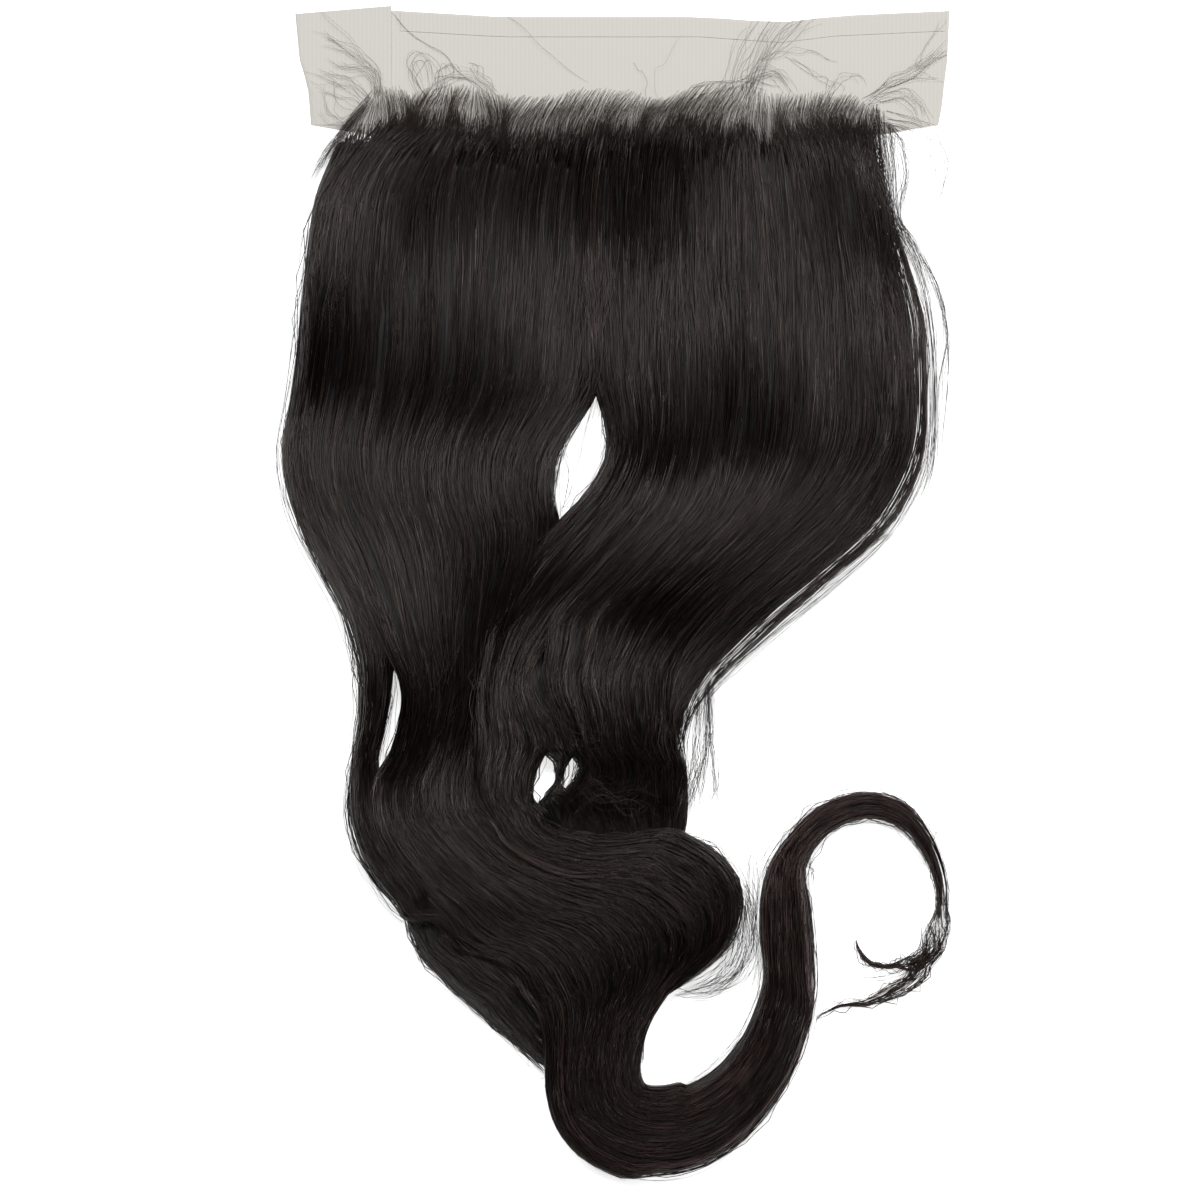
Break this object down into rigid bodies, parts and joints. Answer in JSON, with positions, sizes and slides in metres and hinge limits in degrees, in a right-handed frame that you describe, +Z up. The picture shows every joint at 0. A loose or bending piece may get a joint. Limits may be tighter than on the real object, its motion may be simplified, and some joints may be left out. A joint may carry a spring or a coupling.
{
  "type": "lace frontal hairpiece",
  "caption": "Fine lace hairline strip with one end folded over and long dark waved hair knotted to it, laid flat with its ends swept into a ring.",
  "frame": {"origin": "middle of the hairline on the underside of the lace", "axes": "+X along the hairline to the right as seen from above, +Y from the hairline to the bare front edge of the lace, +Z up out of the surface that it lies on"},
  "size_m": [0.3017, 0.5262, 0.0233],
  "materials": {
    "lace": "fine sheer net, matt",
    "hair": "smooth hair strands, soft gloss"
  },
  "bodies": {
    "root": {"lace_base": "lace", "lace_hem": "lace", "hair_left_edge": "hair", "hair_left_fall": "hair", "hair_tail": "hair", "hair_upper_tip": "hair", "hair_lower_tip": "hair", "hair_cross_lock": "hair", "hair_parted_lock": "hair", "hair_right_fall": "hair", "hair_right_edge": "hair", "hair_under_lock": "hair"}
  },
  "joints": []
}
